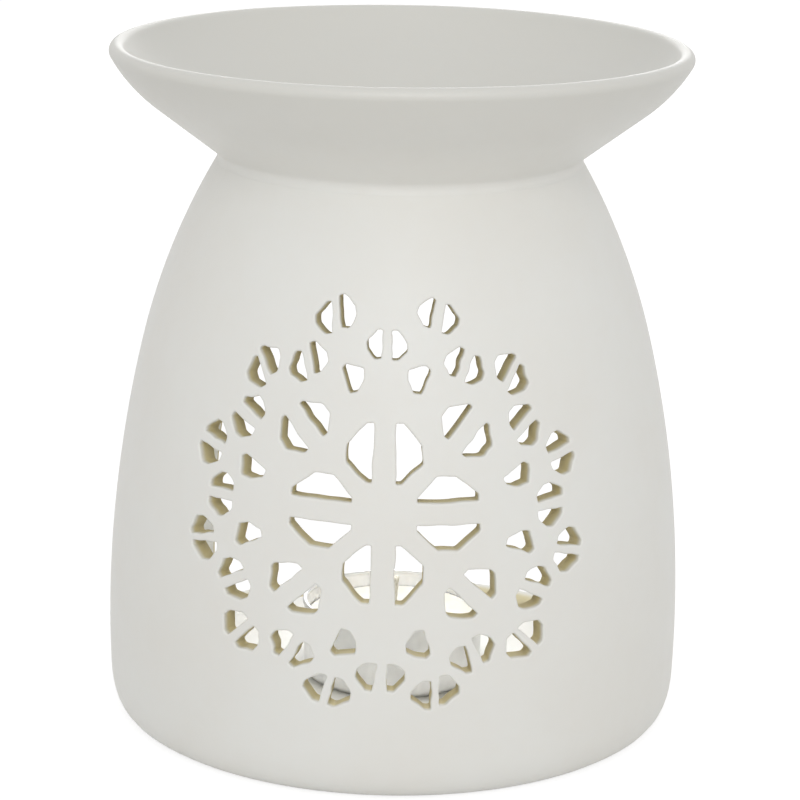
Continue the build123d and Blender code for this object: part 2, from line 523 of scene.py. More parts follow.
class Skin:
    """The vertices, their marks and the faces of one piece, gathered as whole arrays."""

    def __init__(self, *marks: str) -> None:
        """Starts an empty skin whose vertices carry the named marks."""
        self.points: list[np.ndarray] = []
        self.marks: dict[str, list[np.ndarray]] = {name: [] for name in marks}
        self.faces: list[np.ndarray] = []
        self.count = 0

    def add(self, points: np.ndarray, **marks: Any) -> np.ndarray:
        """Adds vertices.

        Args:
            points: Their places, with the coordinates last.
            marks: The value of each mark, one for all the points or one for each; 0 where none is given.

        Returns:
            Their numbers in the piece, in the points' own layout.
        """
        layout = points.shape[:-1]
        self.points.append(points.reshape(-1, 3))
        for name, values in self.marks.items():
            values.append(np.broadcast_to(marks.get(name, 0.0), layout).ravel())
        numbers = self.count + np.arange(len(self.points[-1])).reshape(layout)
        self.count += numbers.size
        return numbers

    def weave(self, grid: np.ndarray) -> None:
        """Lays quads over a grid whose rows go round and close on themselves.

        Args:
            grid: Vertex numbers, row by row.
        """
        closed = np.column_stack([grid, grid[:, :1]])
        corners = [closed[:-1, :-1], closed[:-1, 1:], closed[1:, 1:], closed[1:, :-1]]
        self.faces.append(np.stack(corners, -1).reshape(-1, 4))

    def cap(self, ring: np.ndarray, middle: np.ndarray, first: bool) -> None:
        """Closes a ring with triangles that meet at its middle.

        Args:
            ring: Vertex numbers round the ring.
            middle: Number of the middle vertex.
            first: Whether the middle comes before the ring on the way round the piece.
        """
        after = np.roll(ring, -1)
        pair = (after, ring) if first else (ring, after)
        self.faces.append(np.stack([*pair, np.broadcast_to(middle, ring.shape)], -1))

    def finish(self, name: str, material: bpy.types.Material) -> bpy.types.Object:
        """Puts the gathered arrays into a mesh with smooth faces.

        Args:
            name: Name of the piece.
            material: What it is made of.

        Returns:
            The piece, at the origin.
        """
        points = np.concatenate(self.points)
        corners = np.concatenate([faces.ravel() for faces in self.faces])
        sizes = np.concatenate([np.full(len(faces), faces.shape[1]) for faces in self.faces])
        mesh = bpy.data.meshes.new(name)
        mesh.vertices.add(len(points))
        mesh.vertices.foreach_set("co", points.astype(np.float32).ravel())
        mesh.loops.add(len(corners))
        mesh.loops.foreach_set("vertex_index", corners.astype(np.int32))
        mesh.polygons.add(len(sizes))
        mesh.polygons.foreach_set("loop_start", (np.cumsum(sizes) - sizes).astype(np.int32))
        mesh.polygons.foreach_set("use_smooth", np.ones(len(sizes), bool))
        mesh.update(calc_edges=True)
        for mark, values in self.marks.items():
            layer = mesh.attributes.new(mark, "FLOAT", "POINT")
            layer.data.foreach_set("value", np.concatenate(values).astype(np.float32))
        mesh.materials.append(material)
        piece = bpy.data.objects.new(name, mesh)
        bpy.context.scene.collection.objects.link(piece)
        return piece


def round_the_axis(radius: np.ndarray, azimuth: np.ndarray, height: np.ndarray) -> np.ndarray:
    """Places points about the axis: azimuth 0 is at the front, at -Y, and it grows towards +X.

    Args:
        radius: Distance from the axis.
        azimuth: Angle round the axis.
        height: Height above the table.

    Returns:
        The points, with X, Y and Z last.
    """
    radius, azimuth, height = np.broadcast_arrays(radius, azimuth, height)
    return np.stack([radius * np.sin(azimuth), -radius * np.cos(azimuth), height], -1)


def arc(centre: tuple[float, float], radius: float, start: float, end: float, count: int) -> np.ndarray:
    """Points on an arc in a profile, at even angles.

    Args:
        centre: Its centre, as a radius and a height.
        radius: Its radius.
        start: Angle of its first point, from the outward direction up.
        end: Angle of its last point.
        count: How many points it has.

    Returns:
        Rows of radius and height.
    """
    angles = np.linspace(start, end, count)
    return np.column_stack([centre[0] + radius * np.cos(angles), centre[1] + radius * np.sin(angles)])


def line(start: Sequence[float], end: Sequence[float], count: int) -> np.ndarray:
    """Points on a straight stretch of a profile, at even steps, without its two ends."""
    shares = np.linspace(0, 1, count + 2)[1:-1, None]
    return np.asarray(start) * (1 - shares) + np.asarray(end) * shares


def around(count: int) -> np.ndarray:
    """Azimuths at even steps, once round the axis."""
    return np.arange(count) * FULL_TURN / count


@dataclass(frozen=True)
class Wave:
    """A wave round the axis: its strength, how often it comes round, its phase, and how that climbs."""

    strength: float
    order: int
    phase: float = 0.0
    climb: float = 0.0

    def at(self, azimuth: np.ndarray, climb: Any) -> np.ndarray:
        """Its height: strength * sin(order * azimuth + phase + its own climb * the climb given)."""
        return self.strength * np.sin(self.order * azimuth + self.phase + self.climb * climb)


def rippled(waves: Sequence[Wave], azimuth: np.ndarray, climb: Any = 0.0) -> np.ndarray:
    """The heights of several waves, added up."""
    return sum(wave.at(azimuth, climb) for wave in waves)


def turned(
    skin: Skin, profile: np.ndarray, azimuths: np.ndarray, swell: Any = 0.0, rise: Any = 0.0, **marks: Any
) -> np.ndarray:
    """Turns a profile about the axis: each point keeps its radius and height at every azimuth.

    A profile that starts or ends on the axis is closed there by one vertex.

    Args:
        skin: What the surface is added to.
        profile: Rows of radius and height, from the underside round the outside to the inside.
        azimuths: Where its copies stand.
        swell: What is added to the radius, for each row and azimuth.
        rise: What is added to the height, for each row and azimuth.
        marks: Marks of the vertices, for each row.

    Returns:
        Vertex numbers of the rows off the axis.
    """
    on_axis = profile[:, 0] < TINY
    rows = ~on_axis
    shape = (len(profile), len(azimuths))
    swell, rise = np.broadcast_to(swell, shape), np.broadcast_to(rise, shape)
    radius = profile[rows, :1] + swell[rows]
    height = profile[rows, 1:] + rise[rows]
    row_marks = {}
    for name, value in marks.items():
        row_marks[name] = np.broadcast_to(np.reshape(value, (-1, 1)), shape)[rows]
    grid = skin.add(round_the_axis(radius, azimuths[None], height), **row_marks)
    skin.weave(grid)
    for first, place, ring in ((True, 0, grid[0]), (False, -1, grid[-1])):
        if on_axis[place]:
            middle = np.array([0.0, 0.0, profile[place, 1] + rise[place].mean()])
            skin.cap(ring, skin.add(middle), first)
    return grid


@dataclass
class Wall:
    """One side of the bell's wall: a profile turned about the axis, read by the length along it."""

    profile: np.ndarray
    outward: bool
    flat_rows: int = 0
    along: np.ndarray = field(init=False)
    normals: np.ndarray = field(init=False)

    def __post_init__(self) -> None:
        """Measures the profile: the length along it, and its normals, a quarter turn from its run."""
        steps = np.linalg.norm(np.diff(self.profile, axis=0), axis=1)
        self.along = np.concatenate([[0.0], np.cumsum(steps)])
        run = np.gradient(self.profile, self.along, axis=0)
        run /= np.linalg.norm(run, axis=1, keepdims=True)
        quarter = np.column_stack([run[:, 1], -run[:, 0]])
        self.normals = quarter if self.outward else -quarter

    @property
    def length(self) -> float:
        """Length of the whole profile."""
        return float(self.along[-1])

    def length_at(self, height: np.ndarray) -> np.ndarray:
        """Length along the profile where it reaches a height, above its flat rows."""
        rising = slice(self.flat_rows, None)
        return np.interp(height, self.profile[rising, 1], self.along[rising])

    def read(self, along: np.ndarray, table: np.ndarray) -> np.ndarray:
        """Reads the profile or its normals between their rows."""
        return np.stack([np.interp(along, self.along, column) for column in table.T], -1)


class Cut(Enum):
    """The kinds of hole in the rosette: half outlines along a spoke and out to one side of it.

    The numbers are shares of the rosette's reach.
    """

    GEM = (
        (0.156, 0.056), (0.450, 0.056), (0.450, 0.091), (0.343, 0.182), (0.252, 0.182), (0.156, 0.080),
    )
    UPPER_WING = (
        (0.460, 0.049), (0.658, 0.049), (0.658, 0.072), (0.583, 0.145), (0.526, 0.145), (0.458, 0.077),
    )
    LOWER_WING = (
        (0.473, 0.047), (0.662, 0.047), (0.662, 0.077), (0.582, 0.149), (0.554, 0.149), (0.473, 0.080),
    )
    PETAL = (
        (0.602, -0.010), (0.602, 0.030), (0.732, 0.044), (0.750, 0.020), (0.706, -0.063), (0.656, -0.052),
    )
    INNER_DROP = (
        (0.748, 0.027), (0.888, 0.027), (0.890, 0.056), (0.828, 0.107), (0.790, 0.107), (0.748, 0.062),
    )
    OUTER_DROP = (
        (0.864, 0.022), (1.008, 0.022), (1.010, 0.048), (0.956, 0.110), (0.918, 0.110), (0.864, 0.060),
    )


# Holes that the knife set apart: kind, spoke and side, then millimetres across and up, degrees, and size
HAND_SET: dict[tuple[Cut, int, int], tuple[float, float, float, float]] = {
    (Cut.GEM, 1, -1): (0.0, -0.4, 0, 1.0),
    (Cut.GEM, 1, 1): (0.1, -0.35, 0, 1.0),
    (Cut.GEM, 2, -1): (0.35, -0.1, -2, 1.0),
    (Cut.GEM, 2, 1): (0.3, 0.0, -1, 1.0),
    (Cut.UPPER_WING, 0, -1): (0.35, 0.15, 4, 1.0),
    (Cut.UPPER_WING, 0, 1): (0.5, 0.1, 6, 1.0),
    (Cut.UPPER_WING, 1, -1): (-0.3, 0.0, -2, 1.0),
    (Cut.UPPER_WING, 1, 1): (-0.35, 0.2, -3, 1.0),
    (Cut.PETAL, 0, 1): (0.2, -0.25, 12, 1.0),
    (Cut.PETAL, 2, -1): (-0.25, -0.35, -9, 1.0),
    (Cut.PETAL, 2, 1): (0.1, -0.1, 6, 1.0),
    (Cut.PETAL, 3, 1): (0.0, 0.1, -6, 1.0),
    (Cut.INNER_DROP, 0, 1): (0.1, -0.1, 7, 1.03),
    (Cut.INNER_DROP, 1, -1): (0.0, -0.1, 8, 1.03),
    (Cut.INNER_DROP, 1, 1): (0.2, -0.2, 10, 1.03),
    (Cut.INNER_DROP, 2, -1): (0.1, 0.35, 7, 1.03),
    (Cut.INNER_DROP, 2, 1): (-0.1, 0.05, 8, 1.03),
    (Cut.INNER_DROP, 4, -1): (-0.15, 0.0, -13, 1.07),
    (Cut.INNER_DROP, 4, 1): (-0.1, 0.2, -11, 1.07),
    (Cut.INNER_DROP, 5, 1): (-0.3, -0.25, 3, 1.05),
    (Cut.INNER_DROP, 9, -1): (-0.2, 0.15, -8, 1.03),
    (Cut.INNER_DROP, 10, -1): (0.1, 0.25, -18, 1.04),
    (Cut.INNER_DROP, 10, 1): (0.05, 0.05, -7, 1.03),
    (Cut.INNER_DROP, 11, 1): (0.1, 0.2, 6, 1.03),
    (Cut.OUTER_DROP, 1, -1): (-0.1, -0.1, 10, 1.03),
    (Cut.OUTER_DROP, 1, 1): (0.15, 0.05, 8, 1.03),
    (Cut.OUTER_DROP, 2, -1): (-0.1, 0.9, 4, 0.96),
    (Cut.OUTER_DROP, 2, 1): (-0.75, 1.15, 2, 0.95),
    (Cut.OUTER_DROP, 3, -1): (0.4, 0.8, -7, 1.07),
    (Cut.OUTER_DROP, 3, 1): (0.0, 0.5, -8, 1.05),
    (Cut.OUTER_DROP, 4, -1): (-0.2, 0.0, -11, 1.05),
    (Cut.OUTER_DROP, 4, 1): (0.05, 0.05, -14, 1.06),
    (Cut.OUTER_DROP, 5, 1): (-0.2, -0.3, 0, 1.03),
    (Cut.OUTER_DROP, 6, 1): (0.05, 0.2, -6, 1.03),
    (Cut.OUTER_DROP, 8, 1): (0.0, 0.35, 2, 1.03),
    (Cut.OUTER_DROP, 9, -1): (0.0, 0.5, -17, 1.02),
    (Cut.OUTER_DROP, 9, 1): (-0.1, 0.15, -15, 1.03),
    (Cut.OUTER_DROP, 10, -1): (0.05, 0.25, -5, 1.03),
}


@dataclass
class Piercing:
    """An opening through the wall: its outline across and up, and how its sides run through.

    It comes out inside lower than outside by its fall.
    """

    middle: float
    outline: np.ndarray
    fall: float = 0.0
    to_axis: bool = False
    turn_radius: float = 1.0
    outwards: np.ndarray = field(init=False)

    def __post_init__(self) -> None:
        """Finds which way is out of the opening at each point: a quarter turn from the outline's run."""
        run = np.roll(self.outline, -1, 0) - np.roll(self.outline, 1, 0)
        run /= np.linalg.norm(run, axis=1, keepdims=True)
        self.outwards = np.column_stack([run[:, 1], -run[:, 0]])

    def azimuth(self, across: np.ndarray, radius: np.ndarray) -> np.ndarray:
        """Azimuth of the cut's points at a radius: its sides run to the axis or straight through.

        Args:
            across: How far across the opening the points lie.
            radius: Their distance from the axis.

        Returns:
            Their azimuths.
        """
        if self.to_axis:
            return self.middle + across / self.turn_radius
        return self.middle + np.arcsin(across / radius)


def softened(corners: np.ndarray, spacing: float, softness: float) -> np.ndarray:
    """Walks a polygon at even steps and wipes its corners round with a bell-shaped average along it.

    Args:
        corners: Corners of the polygon, which is closed.
        spacing: About how far apart the points are.
        softness: Width of the average, which is about the radius of the corners.

    Returns:
        Points of the outline, anticlockwise.
    """
    closed = np.vstack([corners, corners[:1]])
    lengths = np.concatenate([[0.0], np.cumsum(np.linalg.norm(np.diff(closed, axis=0), axis=1))])
    count = 2 * ceil(lengths[-1] / spacing / 2)
    steps = np.arange(count) * lengths[-1] / count
    points = np.interp(steps, lengths, closed[:, 0]) + 1j * np.interp(steps, lengths, closed[:, 1])
    waves = FULL_TURN * np.fft.fftfreq(count, lengths[-1] / count)
    points = np.fft.ifft(np.fft.fft(points) * np.exp(-0.5 * (waves * softness) ** 2))
    outline = np.column_stack([points.real, points.imag])
    swept = outline[:, 0] * np.roll(outline[:, 1], -1) - outline[:, 1] * np.roll(outline[:, 0], -1)
    return outline if swept.sum() > 0 else outline[::-1]


def inside(points: np.ndarray, outline: np.ndarray) -> np.ndarray:
    """Tells which points a closed outline holds: a ray from them crosses it an odd number of times.

    Args:
        points: The points.
        outline: The outline.

    Returns:
        True for each point that lies inside.
    """
    start, end = outline, np.roll(outline, -1, 0)
    across, up = points[:, :1], points[:, 1:]
    spans = (start[:, 1] > up) != (end[:, 1] > up)
    slope = (end[:, 0] - start[:, 0]) / np.where(end[:, 1] == start[:, 1], 1.0, end[:, 1] - start[:, 1])
    crossings = spans & (across < start[:, 0] + (up - start[:, 1]) * slope)
    return crossings.sum(1) % 2 == 1


@dataclass
class Bell:
    """The slip-cast body: a thick bell with a pierced rosette in front and an arch behind."""

    belly_height: float = 18.5 * MM
    side_curve: float = 252 * MM
    shoulder_height: float = 79.5 * MM
    shoulder_curve: float = 139.5 * MM
    wall: float = 4 * MM
    side_rows: int = 300
    shoulder_rows: int = 200
    floor_top: float = 5.5 * MM
    floor_rows: int = 8
    floor_corner: float = 6 * MM
    corner_rows: int = 60
    foot_width: float = 4.6 * MM
    foot_height: float = 8.8 * MM
    foot_rows: int = 80
    foot_ring: float = 6 * MM
    foot_recess: float = 1.2 * MM
    foot_edge_round: float = 0.5 * MM

    arch_half_angle: float = radians(48)
    arch_top_share: float = 0.73
    arch_spring_share: float = 0.36
    arch_softness: float = 0.9 * MM
    arch_spacing: float = 1.1 * MM
    arch_points: int = 181
    arch_round: float = 0.9 * MM
    arch_round_start: float = 5 * MM
    arch_wander: float = 0.16 * MM
    arch_wander_start: float = 10 * MM

    rosette_height_share: float = 0.4965
    rosette_reach_share: float = 0.354
    rosette_flattening: float = 0.95
    rosette_shift: tuple[float, float] = (-0.12 * MM, -0.16 * MM)
    rosette_skew: float = -0.0047
    top_pair_stretch: float = 1.045
    top_pair_spread: float = 1.15
    petal_side: float = radians(14.5)
    drop_spokes: int = 12
    hole_softness: float = 0.19 * MM
    hole_round: float = 0.36 * MM
    hole_wander: float = 0.08 * MM
    hole_spacing: float = 0.34 * MM
    hole_shift: float = 0.04 * MM
    hole_turn: float = radians(0.5)
    hole_lean_share: float = 0.5
    wander_orders: tuple[int, int] = (2, 7)
    seed: int = 7

    inner_round_share: float = 0.55
    apron_share: float = 1.5
    round_steps: int = 3
    wall_shares: tuple[float, ...] = (0.08, 0.5, 0.92)
    outer_clay_share: float = 0.04
    inner_clay_shares: tuple[float, float] = (1.0, 0.8)
    outside_spacing: float = 1.5 * MM
    inside_spacing: float = 2.4 * MM
    rim_gap_share: float = 0.6
    seam_gap_share: float = 0.5
    row_end_share: float = 0.75
    ring_points: int = 288
    seam_azimuth: float = -pi / 2
    unevenness: float = 0.09 * MM
    waves: tuple[Wave, ...] = (Wave(1.0, 2, 0.7, 1.0), Wave(0.6, 3, 0.0, -1.9), Wave(0.35, 5, 2.1, 3.0))

    def __post_init__(self) -> None:
        """Takes the bell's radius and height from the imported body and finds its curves' centres."""
        self.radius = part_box("burner_body")[1].x
        self.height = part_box("burner_body")[1].z
        self.random = np.random.default_rng(self.seed)
        self.side_centre = (self.radius - self.side_curve, self.belly_height)
        self.shoulder_angle = asin((self.shoulder_height - self.belly_height) / self.side_curve)
        shift = self.side_curve - self.shoulder_curve
        self.shoulder_centre = (
            self.side_centre[0] + shift * cos(self.shoulder_angle),
            self.side_centre[1] + shift * sin(self.shoulder_angle),
        )
        self.rosette_height = self.rosette_height_share * self.height
        self.rosette_reach = self.rosette_reach_share * self.height
        self.outside = Wall(self.outside_profile(), outward=True)
        self.inside = Wall(self.inside_profile(), outward=False, flat_rows=self.floor_rows)
        middle = self.outside.length_at(np.array(self.rosette_height))
        self.rosette_along = float(middle)
        self.turn_radius = float(self.outside.read(middle, self.outside.profile)[0])
        self.azimuths = self.seam_azimuth + around(self.ring_points)

    def side_and_shoulder(self, start_height: float, depth: float) -> np.ndarray:
        """The long curve of the side and the tighter one of the shoulder, up to the neck.

        Args:
            start_height: Where it starts.
            depth: How far it lies under the outside.

        Returns:
            Rows of radius and height.
        """
        side, shoulder = self.side_curve - depth, self.shoulder_curve - depth
        start = asin((start_height - self.belly_height) / side)
        neck = asin((self.height - self.shoulder_centre[1]) / shoulder)
        lower = arc(self.side_centre, side, start, self.shoulder_angle, self.side_rows)
        upper = arc(self.shoulder_centre, shoulder, self.shoulder_angle, neck, self.shoulder_rows)
        return np.vstack([lower, upper[1:]])

    def outside_profile(self) -> np.ndarray:
        """The outside up to the neck, from the foot, which turns in on a parabola flat on the table.

        Returns:
            Rows of radius and height.
        """
        side = self.side_and_shoulder(self.foot_height, 0.0)
        slope = (self.belly_height - self.foot_height) / self.side_curve
        shares = np.linspace(0, 1, self.foot_rows)[:-1, None]
        edge = np.array([side[0, 0] - self.foot_width, 0.0])
        pull = np.array([side[0, 0] - self.foot_height * slope, 0.0])
        foot = (1 - shares) ** 2 * edge + 2 * shares * (1 - shares) * pull + shares**2 * side[0]
        return np.vstack([foot, side])

    def inside_profile(self) -> np.ndarray:
        """The inside from the flat floor, round the floor's corner and up to the neck.

        Returns:
            Rows of radius and height.
        """
        corner_height = self.floor_top + self.floor_corner
        reach = self.side_curve - self.wall - self.floor_corner
        drop = corner_height - self.belly_height
        corner_radius = self.side_centre[0] + sqrt(reach**2 - drop**2)
        lean = asin(drop / reach)
        corner = arc((corner_radius, corner_height), self.floor_corner, -pi / 2, lean, self.corner_rows)
        floor = line((corner_radius - self.floor_corner, self.floor_top), corner[0], self.floor_rows - 1)
        start = np.array([[corner_radius - self.floor_corner, self.floor_top]])
        side = self.side_and_shoulder(corner[-1, 1], self.wall)
        return np.vstack([start, floor, corner, side[1:]])

    def uneven(self, azimuth: np.ndarray, height: np.ndarray) -> np.ndarray:
        """How far the cast wall stands out of true, in slow waves that die out at the foot and the neck."""
        climb = pi * height / self.height
        return self.unevenness * rippled(self.waves, azimuth, climb) * np.sin(climb)

    def on_wall(self, wall: Wall, azimuth: np.ndarray, along: np.ndarray, depth: Any = 0.0) -> np.ndarray:
        """Places points on a side of the wall or under it.

        Args:
            wall: The side.
            azimuth: Angle round the axis.
            along: Length along the side's profile.
            depth: How far under the surface.

        Returns:
            The points.
        """
        sunk = np.asarray(depth)[..., None] * wall.read(along, wall.normals)
        place = wall.read(along, wall.profile) - sunk
        radius = place[..., 0] + self.uneven(azimuth, place[..., 1])
        return round_the_axis(radius, azimuth, place[..., 1])

    def spoke_hole(self, cut: Cut, spoke: int, side: int, angle: float, stretch: float = 1.0) -> Piercing:
        """One hole of the rosette, softened and set by hand: shifted, turned and wandering a little.

        The flat rosette is wrapped round the bell. What lies up in it is a length along the wall, and
        what lies across is an angle, so that a hole narrows where the bell does.

        Args:
            cut: Its kind.
            spoke: Number of its spoke, anticlockwise from the right.
            side: 1 or -1, the side of the spoke.
            angle: Angle of the spoke.
            stretch: How much further out it stands than the rest.

        Returns:
            The hole.
        """
        shares = np.array(cut.value) * self.rosette_reach * (stretch, side)
        across = shares[:, 0] * cos(angle) - shares[:, 1] * sin(angle)
        up = (shares[:, 0] * sin(angle) + shares[:, 1] * cos(angle)) * self.rosette_flattening
        corners = np.column_stack([across, up])
        centre = corners.mean(0)
        *set_off, set_turn, size = HAND_SET.get((cut, spoke, side), (0.0, 0.0, 0.0, 1.0))
        turn = self.random.normal(0, self.hole_turn) + radians(set_turn)
        swing = np.array([[cos(turn), sin(turn)], [-sin(turn), cos(turn)]])
        corners = size * (corners - centre) @ swing
        skewed = self.rosette_skew * centre[::-1]
        centre += skewed + self.rosette_shift + self.random.normal(0, self.hole_shift, 2)
        centre += np.array(set_off) * MM
        radius = self.outside.read(self.rosette_along + centre[1], self.outside.profile)[0]
        corners[:, 0] *= radius / self.turn_radius
        outline = softened(corners, self.hole_spacing, self.hole_softness)
        along = self.rosette_along + centre[1] + outline[:, 1]
        outline[:, 1] = self.outside.read(along, self.outside.profile)[:, 1]
        lean = self.outside.read(along.mean(), self.outside.normals)[1]
        fall = self.hole_lean_share * self.wall * lean
        return self.wandered(Piercing(centre[0] / self.turn_radius, outline, fall), self.hole_wander)

    def wandered(self, piercing: Piercing, reach: Any) -> Piercing:
        """Lets a knife-cut outline wander in and out, as a sum of a few slow waves along it.

        Args:
            piercing: The opening.
            reach: How far it wanders, for all its points or for each.

        Returns:
            The opening with the new outline.
        """
        turns = around(len(piercing.outline))
        orders = np.arange(*self.wander_orders)
        strengths = self.random.normal(0, 1, len(orders)) / np.sqrt(orders)
        phases = self.random.uniform(0, FULL_TURN, len(orders))
        waves = (strengths[:, None] * np.sin(orders[:, None] * turns + phases[:, None])).sum(0)
        outline = piercing.outline + (reach * waves)[:, None] * piercing.outwards
        return replace(piercing, outline=outline)

    def rosette(self) -> Iterator[Piercing]:
        """Gives the gems, wings, petals and two rings of drops, those on one side of their spokes first.

        Yields:
            Each hole of the rosette.
        """
        quarter = FULL_TURN / 4
        step = FULL_TURN / self.drop_spokes
        for side in (-1, 1):
            for spoke in range(4):
                yield self.spoke_hole(Cut.GEM, spoke, side, spoke * quarter)
                wing = Cut.UPPER_WING if spoke < 2 else Cut.LOWER_WING
                yield self.spoke_hole(wing, spoke, side, (spoke + 0.5) * quarter)
                yield self.spoke_hole(Cut.PETAL, spoke, side, spoke * quarter + side * self.petal_side)
            for spoke in range(self.drop_spokes):
                yield self.spoke_hole(Cut.INNER_DROP, spoke, side, spoke * step)
                from_top = (spoke + 0.5) * step - quarter
                beside_top = abs(from_top) < step
                spread = self.top_pair_spread if beside_top else 1.0
                stretch = self.top_pair_stretch if beside_top else 1.0
                angle = quarter + from_top * spread
                yield self.spoke_hole(Cut.OUTER_DROP, spoke, side, angle, stretch)

    def arch(self) -> Piercing:
        """The opening behind: upright sides that run to the axis under half an ellipse, from the floor up.

        Returns:
            The opening.
        """
        top, spring = self.arch_top_share * self.height, self.arch_spring_share * self.height
        angles = np.linspace(0, pi, self.arch_points)
        swung = np.arctan(tan(self.arch_half_angle) * np.cos(angles))
        crown = np.column_stack([swung * self.radius, spring + (top - spring) * np.sin(angles)])
        half_width = self.arch_half_angle * self.radius
        feet = np.array([[-half_width, self.floor_top], [half_width, self.floor_top]])
        outline = softened(np.vstack([crown, feet]), self.arch_spacing, self.arch_softness)
        piercing = Piercing(pi, outline, to_axis=True, turn_radius=self.radius)
        above_floor = smooth_step((outline[:, 1] - self.floor_top) / self.arch_wander_start)
        return self.wandered(piercing, self.arch_wander * above_floor)

    def pierce(self, skin: Skin, piercing: Piercing, edge_round: float) -> list[Rim]:
        """Cuts one opening: a rounded edge outside, the cut through the wall, and a rounded edge inside.

        An edge is a quarter of a circle: at a turn it stands round * (1 - sin) out of the opening and
        round * (1 - cos) under the surface. A narrow flat apron lies round it, so that the wall's own
        shading stays even up to the edge. The mark "cut" grows from 0 outside to 1 at the inner edge,
        and ends at the inner apron.

        Args:
            skin: What the faces are added to.
            piercing: The opening.
            edge_round: Radius of the outer edge.

        Returns:
            The opening's rim outside and inside, whose points are an azimuth and a length along.
        """
        above_floor = smooth_step((piercing.outline[:, 1] - self.floor_top) / self.arch_round_start)
        across, up = piercing.outline.T
        turns = np.linspace(0, pi / 2, self.round_steps + 1)
        steps = [(self.apron_share, 0.0)] + [(1 - sin(turn), 1 - cos(turn)) for turn in turns]
        rims, edges = [], []
        for wall, radius in ((self.outside, edge_round), (self.inside, edge_round * self.inner_round_share)):
            sunk = np.ones_like(up) if wall.outward else above_floor
            level = up if wall.outward else up - piercing.fall
            rows = []
            for out, drop in steps:
                along = wall.length_at(level) + out * radius * piercing.outwards[:, 1]
                reach = wall.read(along, wall.profile)[:, 0]
                azimuth = piercing.azimuth(across + out * radius * piercing.outwards[:, 0], reach)
                rows.append(self.on_wall(wall, azimuth, along, sunk * drop * radius))
                if len(rows) == 1:
                    rims.append(np.column_stack([azimuth, along]))
            edges.append(np.stack(rows))
        shares = np.array(self.wall_shares)[:, None, None]
        through = edges[0][-1] * (1 - shares) + edges[1][-1] * shares
        rows = np.concatenate([edges[0], through, edges[1][::-1]])
        outer_edge = np.append(np.zeros(len(steps) - 1), self.outer_clay_share)
        inner_edge = np.append(np.linspace(*self.inner_clay_shares, len(steps) - 1), 0.0)
        in_wall = np.concatenate([outer_edge, self.wall_shares, inner_edge])
        grid = skin.add(rows, cut=in_wall[:, None])
        skin.weave(grid)
        return [(rims[0], grid[0]), (rims[1], grid[-1])]

    def cover(self, skin: Skin, wall: Wall, rims: list[Rim], spacing: float) -> list[np.ndarray]:
        """Covers a side of the wall between its openings with triangles, cut open at the left-hand seam.

        The side is laid flat, azimuth times a radius against the length along. Even rows of points fill it,
        and a constrained triangulation joins them to the openings' rims and leaves the openings out.

        Args:
            skin: What the faces are added to.
            wall: The side.
            rims: The openings' rims on it.
            spacing: How far apart the points are.

        Returns:
            Vertex numbers of its lowest and its highest ring.
        """
        width = FULL_TURN * self.turn_radius
        left = self.seam_azimuth * self.turn_radius
        rings, flat, numbers = [], [], []
        ring_across = np.append(self.azimuths * self.turn_radius, left + width)
        for level in (0.0, wall.length):
            ring = skin.add(self.on_wall(wall, self.azimuths, np.full(self.ring_points, level)))
            rings.append(ring)
            row = np.column_stack([ring_across, np.full(len(ring_across), level)])
            order = slice(None) if level == 0 else slice(None, None, -1)
            flat.append(row[order])
            numbers.append(np.append(ring, ring[0])[order])
        levels = np.linspace(0, wall.length, ceil(wall.length / spacing) + 1)[1:-1]
        seam = skin.add(self.on_wall(wall, np.full(len(levels), self.seam_azimuth), levels))
        flat.insert(1, np.column_stack([np.full(len(levels), left + width), levels]))
        numbers.insert(1, seam)
        flat.append(np.column_stack([np.full(len(levels), left), levels])[::-1])
        numbers.append(seam[::-1])
        borders = [np.arange(sum(map(len, flat)))]
        for rim, rim_numbers in rims:
            borders.append(len(np.concatenate(flat)) + np.arange(len(rim)))
            flat.append(rim * (self.turn_radius, 1.0))
            numbers.append(rim_numbers)

        row_gap = spacing * sqrt(3) / 2
        down = np.arange(row_gap, wall.length - self.rim_gap_share * row_gap, row_gap)
        along = np.arange(spacing, width - self.row_end_share * spacing, spacing)
        across = left + along[None] + (np.arange(len(down)) % 2)[:, None] * spacing / 2
        free = np.column_stack([across.ravel(), np.repeat(down, len(along))])
        free = free[free[:, 0] < left + width - self.seam_gap_share * spacing]
        gap = self.rim_gap_share * spacing
        for rim in flat[4:]:
            near = np.flatnonzero(((free > rim.min(0) - gap) & (free < rim.max(0) + gap)).all(1))
            touching = np.linalg.norm(free[near, None] - rim[None], axis=2).min(1) < gap
            free = np.delete(free, near[touching | inside(free[near], rim)], axis=0)
        flat.append(free)
        numbers.append(skin.add(self.on_wall(wall, free[:, 0] / self.turn_radius, free[:, 1])))

        number_of = np.concatenate(numbers)
        holes_left_out = 2
        outlines = [border.tolist() for border in borders]
        made = delaunay_2d_cdt(np.concatenate(flat).tolist(), [], outlines, holes_left_out, TINY)
        source = np.array([origins[0] for origins in made[3]])
        triangles = number_of[source[np.array(made[2])]]
        skin.faces.append(triangles if wall.outward else triangles[:, ::-1])
        return rings

    def underside(self) -> np.ndarray:
        """The underside from the axis out: a shallow recess inside the ring that it stands on.

        Returns:
            Rows of radius and height.
        """
        edge = self.outside.profile[0]
        ring_inside = edge[0] - self.foot_ring
        bend = self.foot_edge_round
        recess = [[0.0, self.foot_recess]]
        flat = line(recess[0], (ring_inside - bend, self.foot_recess), 14)
        upper = arc((ring_inside - bend, self.foot_recess - bend), bend, pi / 2, 0, 6)
        lower = arc((ring_inside + bend, bend), bend, pi, 1.5 * pi, 6)
        return np.vstack([recess, flat, upper, lower, line((ring_inside + bend, 0), edge, 4)])

